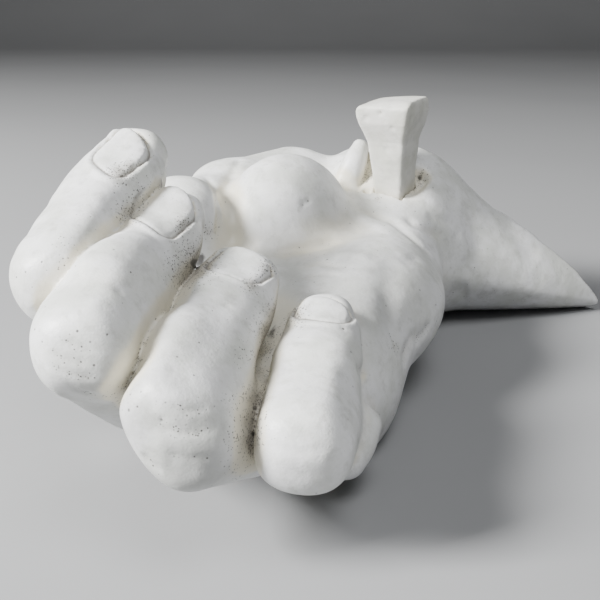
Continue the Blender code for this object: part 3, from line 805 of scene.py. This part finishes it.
def spike(P):
    x, y = spike_local(P)
    z = P[:, 2]
    hx, hy = np.interp(z, SPIKE_Z, SPIKE_X), np.interp(z, SPIKE_Z, SPIKE_Y)
    # hand-carved faces: each edge worn by its own amount, the crown slightly domed and chipped
    top = 67.5 + 0.085 * x + 0.05 * y - 0.25 * (x * x + y * y) / 60 + 0.05 * noise(P, 3.0, 7)
    side = smax(np.abs(x) - hx, np.abs(y) - hy, 1.3)
    d = smax(side, z - top, 0.7)
    d = smax(d, -0.80 * x + 0.60 * (z - 67.0) - 4.9 + 0.10 * noise(P, 2.4, 13), 0.8)
    d = smax(d, -0.55 * y + 0.83 * (z - 67.0) - 3.6 + 0.10 * noise(P, 2.8, 14), 0.6)
    d = smax(d, 33.3 - z, 0.4)
    d = d + 0.10 * noise(P, 5.0, 8) * step(34, 40, z) + 0.05 * noise(P * (1, 1, 2.6), 3.0, 9) * step(34, 42, z)
    for c, r, k in SPIKE_PITS:
        q = P - c
        d = d + k * np.exp(-np.einsum("ij,ij->i", q, q) / r ** 2)
    return d


SPIKE_PITS = []


def spike_pick(points):
    D = np.array([ray(u, v) for u, v in points])
    t = np.full(len(D), 190.0)
    for _ in range(60):
        t = t + np.clip(spike(EYE + D * t[:, None]) * 0.7, -2, 6)
    return EYE + D * t[:, None]


SPIKE_PITS = [(c, r, k) for c, (_, _, r, k) in zip(spike_pick([(380, 113), (392, 128), (366, 118), (386, 150), (412, 118)]),
                                                   [(0, 0, 0.7, 0.5), (0, 0, 0.6, 0.25), (0, 0, 0.8, 0.3), (0, 0, 0.9, 0.25), (0, 0, 0.8, 0.3)])]
sv, sq = extract(spike, (-13, 27, 31), (18, 60, 70), 0.38)
sn = normals_of(sv, sq)
low = step(46.0, 38.0, sv[:, 2])
mark = np.zeros(len(sv))
for (c, r, k) in SPIKE_PITS:
    q = sv - c
    mark = np.maximum(mark, 0.9 * np.exp(-np.einsum("ij,ij->i", q, q) / (r * 0.8) ** 2) * (k > 0.4))
spike_ob = to_mesh("spike_skin", sv, sq, {"dirt": np.clip(mark, 0, 1), "cream": low})


# ------------------------------------------------------------------ materials
class Nodes:
    def __init__(s, name):
        s.m = bpy.data.materials.new(name)
        s.m.use_nodes = True
        s.t = s.m.node_tree
        s.b = s.t.nodes["Principled BSDF"]

    def add(s, kind, ins=None, **props):
        n = s.t.nodes.new(kind)
        for k, v in props.items():
            setattr(n, k, v)
        for k, v in (ins or {}).items():
            if hasattr(v, "is_output"):
                s.t.links.new(v, n.inputs[k])
            else:
                n.inputs[k].default_value = v
        return n

    def math(s, op, a, b=0.0, clamp=False):
        return s.add("ShaderNodeMath", {0: a, 1: b}, operation=op, use_clamp=clamp).outputs[0]

    def ramp(s, x, lo, hi, a=0.0, b=1.0):
        return s.add("ShaderNodeMapRange", {"Value": x, "From Min": lo, "From Max": hi, "To Min": a, "To Max": b},
                     interpolation_type="SMOOTHSTEP").outputs[0]

    def noise(s, co, scale, detail=2.0, rough=0.5):
        return s.add("ShaderNodeTexNoise", {"Vector": co, "Scale": scale, "Detail": detail, "Roughness": rough}).outputs[0]

    def mix(s, f, a, b):
        n = s.add("ShaderNodeMix", data_type="RGBA")
        for k, v in ((0, f), (6, a), (7, b)):
            if hasattr(v, "is_output"):
                s.t.links.new(v, n.inputs[k])
            else:
                n.inputs[k].default_value = (*v, 1.0) if isinstance(v, tuple) else v
        return n.outputs[2]

    def attr(s, name):
        return s.add("ShaderNodeAttribute", attribute_name=name).outputs["Fac"]


def nail_line(n, co, nail):
    """Thin line in the groove round a nail: 1 in the groove, 0 elsewhere."""
    origin = tuple(float(c) for c in (nail.centre + SHIFT) * MM)
    q = n.add("ShaderNodeVectorMath", {0: co, 1: origin}, operation="SUBTRACT").outputs[0]

    def along(axis):
        return n.add("ShaderNodeVectorMath", {0: q, 1: tuple(float(c) for c in axis / MM)}, operation="DOT_PRODUCT").outputs["Value"]
    a, c, h = along(nail.ua), along(nail.uc), along(nail.n)
    ahead = n.math("GREATER_THAN", a, 0.0)
    arch = n.math("SUBTRACT", n.math("MULTIPLY", ahead, 0.36 / nail.half), 0.16 / nail.half)
    a2 = n.math("ADD", a, n.math("MULTIPLY", arch, n.math("MULTIPLY", c, c)))
    a2 = n.math("ADD", a2, n.math("SUBTRACT", 0.5, n.math("MULTIPLY", ahead, 1.2)))
    r = nail.half * 0.40
    x = n.math("SUBTRACT", n.math("ABSOLUTE", a2), nail.length / 2 - r)
    y = n.math("SUBTRACT", n.math("ABSOLUTE", c), nail.half - r)
    inner = n.math("MINIMUM", n.math("MAXIMUM", x, y), 0.0)
    px, py = n.math("MAXIMUM", x, 0.0), n.math("MAXIMUM", y, 0.0)
    outer = n.math("SQRT", n.math("ADD", n.math("MULTIPLY", px, px), n.math("MULTIPLY", py, py)))
    o = n.math("SUBTRACT", n.math("ADD", inner, outer), r)
    thin = n.ramp(n.math("ABSOLUTE", n.math("SUBTRACT", o, 0.40)), 0.48, 0.05)
    here = n.math("MULTIPLY", n.ramp(h, -5.0, -4.0), n.ramp(h, 3.5, 2.5))
    return n.math("MULTIPLY", thin, here)


def plaster_material(name, white, warm, black, speck, rough, marks=(), nails=()):
    """Cast plaster: soft mottling, a warm tint of painted shade where it is sheltered, a grey film of dust and painted
    shade, grime and painted shade in the creases and gaps, scattered pinholes and dark grains. marks are single dark
    grains at given places."""
    n = Nodes(name)
    co = n.add("ShaderNodeTexCoord").outputs["Object"]
    cloud = n.noise(co, 95.0, 4.0, 0.6)
    base = n.mix(n.ramp(cloud, 0.32, 0.64), tuple(c * t for c, t in zip(white, (0.81, 0.82, 0.775))), white)
    base = n.mix(n.ramp(n.noise(co, 330.0, 5.0, 0.7), 0.47, 0.70, 0.0, 0.42), base, (0.42, 0.42, 0.39))
    # grey film: dust with painted shade in the palm, under the knuckles and near the floor
    base = n.mix(n.math("MULTIPLY", n.attr("grey_dust_and_shade"), n.ramp(n.noise(co, 140.0, 4.0, 0.6), 0.25, 0.75, 0.55, 0.90)), base, (0.31, 0.315, 0.305))
    # warm tint: painted shade in the hand's sheltered gaps, real cream slurry at the spike's foot
    cream = n.math("MULTIPLY", n.attr("cream"), n.ramp(n.noise(co, 160.0, 3.0), 0.2, 0.75, 0.55, 1.0), True)
    base = n.mix(cream, base, warm)
    dirt = n.attr("dirt")
    crumbs = n.add("ShaderNodeTexVoronoi", {"Vector": co, "Scale": 2900.0})
    pick_crumb = n.add("ShaderNodeSeparateColor", {0: crumbs.outputs["Color"]})
    fleck = n.math("MULTIPLY", n.ramp(n.math("ADD", crumbs.outputs["Distance"], n.math("MULTIPLY", pick_crumb.outputs[1], 0.30)), 0.70, 0.42),
                   n.ramp(n.math("SUBTRACT", pick_crumb.outputs[0], n.math("MULTIPLY", dirt, 0.85)), 0.02, -0.02))
    # warm grey film over grime and painted shade
    grime_and_shade_film = n.math("MULTIPLY", n.ramp(dirt, 0.08, 1.0), 0.70)
    base = n.mix(grime_and_shade_film, base, (0.30, 0.27, 0.225))
    base = n.mix(n.math("MULTIPLY", n.math("MULTIPLY", fleck, n.ramp(dirt, 0.03, 0.15)), 0.88), base, black)
    # near-black fill: painted shade in deep gaps and holes, with some packed grime
    black_fill_shade_and_grime = n.ramp(n.math("ADD", n.attr("gap_shade_and_packed_grime"), n.math("MULTIPLY", n.noise(co, 900.0, 3.0, 0.6), 0.5)), 0.52, 0.95)
    base = n.mix(n.math("MULTIPLY", black_fill_shade_and_grime, 0.88), base, black)
    rim = None
    # dark line in each nail's groove: grime with painted shade at the cuticle step and the free edge
    for nail in nails:
        f = nail_line(n, co, nail)
        rim = f if rim is None else n.math("MAXIMUM", rim, f)
    if rim is not None:
        nail_line_patchiness = n.ramp(n.noise(co, 330.0, 3.0, 0.6), 0.30, 0.62, 0.45, 0.92)
        base = n.mix(n.math("MULTIPLY", rim, nail_line_patchiness), base, (0.22, 0.205, 0.185))
    # pinholes and grains
    cells = n.add("ShaderNodeTexVoronoi", {"Vector": co, "Scale": 400.0})
    pick_cell = n.add("ShaderNodeSeparateColor", {0: cells.outputs["Color"]})
    hole = n.math("MULTIPLY", n.ramp(cells.outputs["Distance"], 0.10, 0.045),
                  n.ramp(pick_cell.outputs[0], 1 - speck, 1 - speck * 0.8))
    fine = n.add("ShaderNodeTexVoronoi", {"Vector": co, "Scale": 900.0})
    pick_fine = n.add("ShaderNodeSeparateColor", {0: fine.outputs["Color"]})
    dust = n.math("MULTIPLY", n.ramp(fine.outputs["Distance"], 0.16, 0.08),
                  n.ramp(n.math("ADD", pick_fine.outputs[1], n.math("MULTIPLY", dirt, 0.22)), 0.87, 0.90))
    dust = n.math("MULTIPLY", dust, n.ramp(n.noise(co, 60.0, 2.0), 0.38, 0.60))
    base = n.mix(n.math("MULTIPLY", hole, 0.80), base, black)
    base = n.mix(n.math("MULTIPLY", dust, 0.75), base, (0.20, 0.19, 0.17))
    for (x, y, z), r, k in marks:
        far = n.add("ShaderNodeVectorMath", {0: co, 1: (x, y, z)}, operation="DISTANCE").outputs["Value"]
        base = n.mix(n.ramp(far, r, r * 0.45, 0.0, k), base, black)
    n.t.links.new(base, n.b.inputs["Base Color"])
    n.b.inputs["Roughness"].default_value = rough
    n.b.inputs["Specular IOR Level"].default_value = 0.5
    low = n.add("ShaderNodeBump", {"Strength": 0.35, "Distance": 0.00035, "Height": n.noise(co, 420.0, 5.0, 0.62)})
    pit = n.math("SUBTRACT", n.math("MULTIPLY", n.noise(co, 2300.0, 2.0), 0.5), hole)
    if rim is not None:
        pit = n.math("SUBTRACT", pit, rim)
    top = n.add("ShaderNodeBump", {"Strength": 0.25, "Distance": 0.00025, "Height": pit, "Normal": low.outputs[0]})
    n.t.links.new(top.outputs[0], n.b.inputs["Normal"])
    return n.m


def metal_material(name, colour, rough, bloom):
    n = Nodes(name)
    co = n.add("ShaderNodeTexCoord").outputs["Object"]
    f = n.ramp(n.noise(co, 600.0, 3.0), 0.35, 0.7)
    n.t.links.new(n.mix(f, colour, bloom), n.b.inputs["Base Color"])
    n.b.inputs["Metallic"].default_value = 1.0
    n.t.links.new(n.ramp(f, 0.0, 1.0, rough, rough + 0.2), n.b.inputs["Roughness"])
    return n.m


# single grains and pinholes that stand out on the skin
GRAINS = [(303, 205, 0.45, 0.6), (308, 201, 0.5, 0.7), (327, 259, 0.6, 0.9), (227, 304, 0.7, 0.95), (131, 272, 0.45, 0.9), (77, 331, 0.55, 0.9),
          (94, 365, 0.5, 0.8), (90, 342, 0.4, 0.7), (161, 420, 0.6, 0.8), (129, 410, 0.6, 0.7), (215, 406, 0.45, 0.7), (177, 357, 0.4, 0.7),
          (343, 329, 0.6, 0.85), (26, 272, 0.5, 0.8), (173, 269, 0.6, 0.9), (59, 208, 0.3, 0.7), (420, 290, 0.5, 0.6), (194, 375, 0.4, 0.7)]
_g = pick([q[:2] for q in GRAINS])
marks = [(tuple((c + SHIFT) * MM), r * 0.62 * MM, k) for c, (_, _, r, k) in zip(_g, GRAINS)]
plaster = plaster_material("plaster", (0.80, 0.805, 0.81), (0.72, 0.68, 0.56), (0.05, 0.045, 0.04), 0.30, 0.42, marks, NAILS.values())
cream = plaster_material("cream_plaster", (0.66, 0.655, 0.62), (0.63, 0.59, 0.485), (0.10, 0.09, 0.07), 0.05, 0.58)
zinc = metal_material("galvanised_wire", (0.50, 0.51, 0.52), 0.38, (0.60, 0.61, 0.62))
steel = metal_material("steel", (0.36, 0.35, 0.34), 0.35, (0.28, 0.25, 0.23))
hand_ob.data.materials.append(plaster)
spike_ob.data.materials.append(cream)
for name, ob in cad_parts.items():
    if name not in ("hand_casting", "spike"):
        mat = zinc if name.startswith("wire") else steel
        for k in range(len(ob.material_slots)):
            ob.material_slots[k].material = mat

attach(hand_ob, "root")
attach(spike_ob, "root")
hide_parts("hand_casting")
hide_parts("spike")

# ------------------------------------------------------------------ stage, light, camera
# a pale sweep: flat floor that curves up into a wall far behind the piece
ca, sa = math.cos(EYE_AZ), math.sin(EYE_AZ)
profile = [(-2.5, 0.0), (1.6, 0.0)] + [(1.6 + 0.9 * math.sin(k * math.pi / 24), 0.9 - 0.9 * math.cos(k * math.pi / 24)) for k in range(1, 13)] + [(2.5, 3.0)]
pts, faces = [], []
for side in (-3.5, 3.5):
    pts += [(ca * side - sa * a, sa * side + ca * a, z) for a, z in profile]
k = len(profile)
faces = [(i, i + k, i + k + 1, i + 1) for i in range(k - 1)]
fl = bpy.data.meshes.new("floor")
fl.from_pydata(pts, [], faces)
fl.shade_smooth()
floor = bpy.data.objects.new("floor", fl)
bpy.context.scene.collection.objects.link(floor)
paper = Nodes("floor_paper")
co = paper.add("ShaderNodeTexCoord").outputs["Object"]
paper.t.links.new(paper.mix(paper.ramp(paper.noise(co, 3.0, 2.0), 0.3, 0.7), (0.255, 0.258, 0.264), (0.27, 0.273, 0.279)), paper.b.inputs["Base Color"])
paper.b.inputs["Roughness"].default_value = 0.8
fl.materials.append(paper.m)

world = bpy.data.worlds.new("studio")
bpy.context.scene.world = world
world.use_nodes = True
world.node_tree.nodes["Background"].inputs[0].default_value = (0.70, 0.71, 0.73, 1)
world.node_tree.nodes["Background"].inputs[1].default_value = 0.12


def area(name, loc, target, size, power, colour=(1, 1, 1)):
    l = bpy.data.lights.new(name, "AREA")
    l.size = size
    l.energy = power
    l.color = colour
    o = bpy.data.objects.new(name, l)
    bpy.context.scene.collection.objects.link(o)
    o.location = loc
    o.rotation_mode = "QUATERNION"
    o.rotation_quaternion = (Vector(target) - Vector(loc)).to_track_quat("-Z", "Y")


area("key", (-0.66, -0.62, 0.62), (0, 0, 0.03), 0.30, 48.0, (1.0, 0.995, 0.98))
area("top", (0.30, -0.25, 0.90), (0, 0, 0.03), 0.45, 6.0, (0.98, 0.99, 1.0))

cam = bpy.data.cameras.new("camera")
cam_ob = bpy.data.objects.new("camera", cam)
bpy.context.scene.collection.objects.link(cam_ob)
cam.sensor_width = 36.0
cam.lens = EYE_F / 600.0 * 36.0
cam.clip_start = 0.01
cam_ob.location = Vector((EYE + SHIFT) * MM)
cam_ob.rotation_mode = "QUATERNION"
cam_ob.rotation_quaternion = Vector(ray(300, 300)).to_track_quat("-Z", "Y")
bpy.context.scene.camera = cam_ob

bpy.context.view_layer.update()
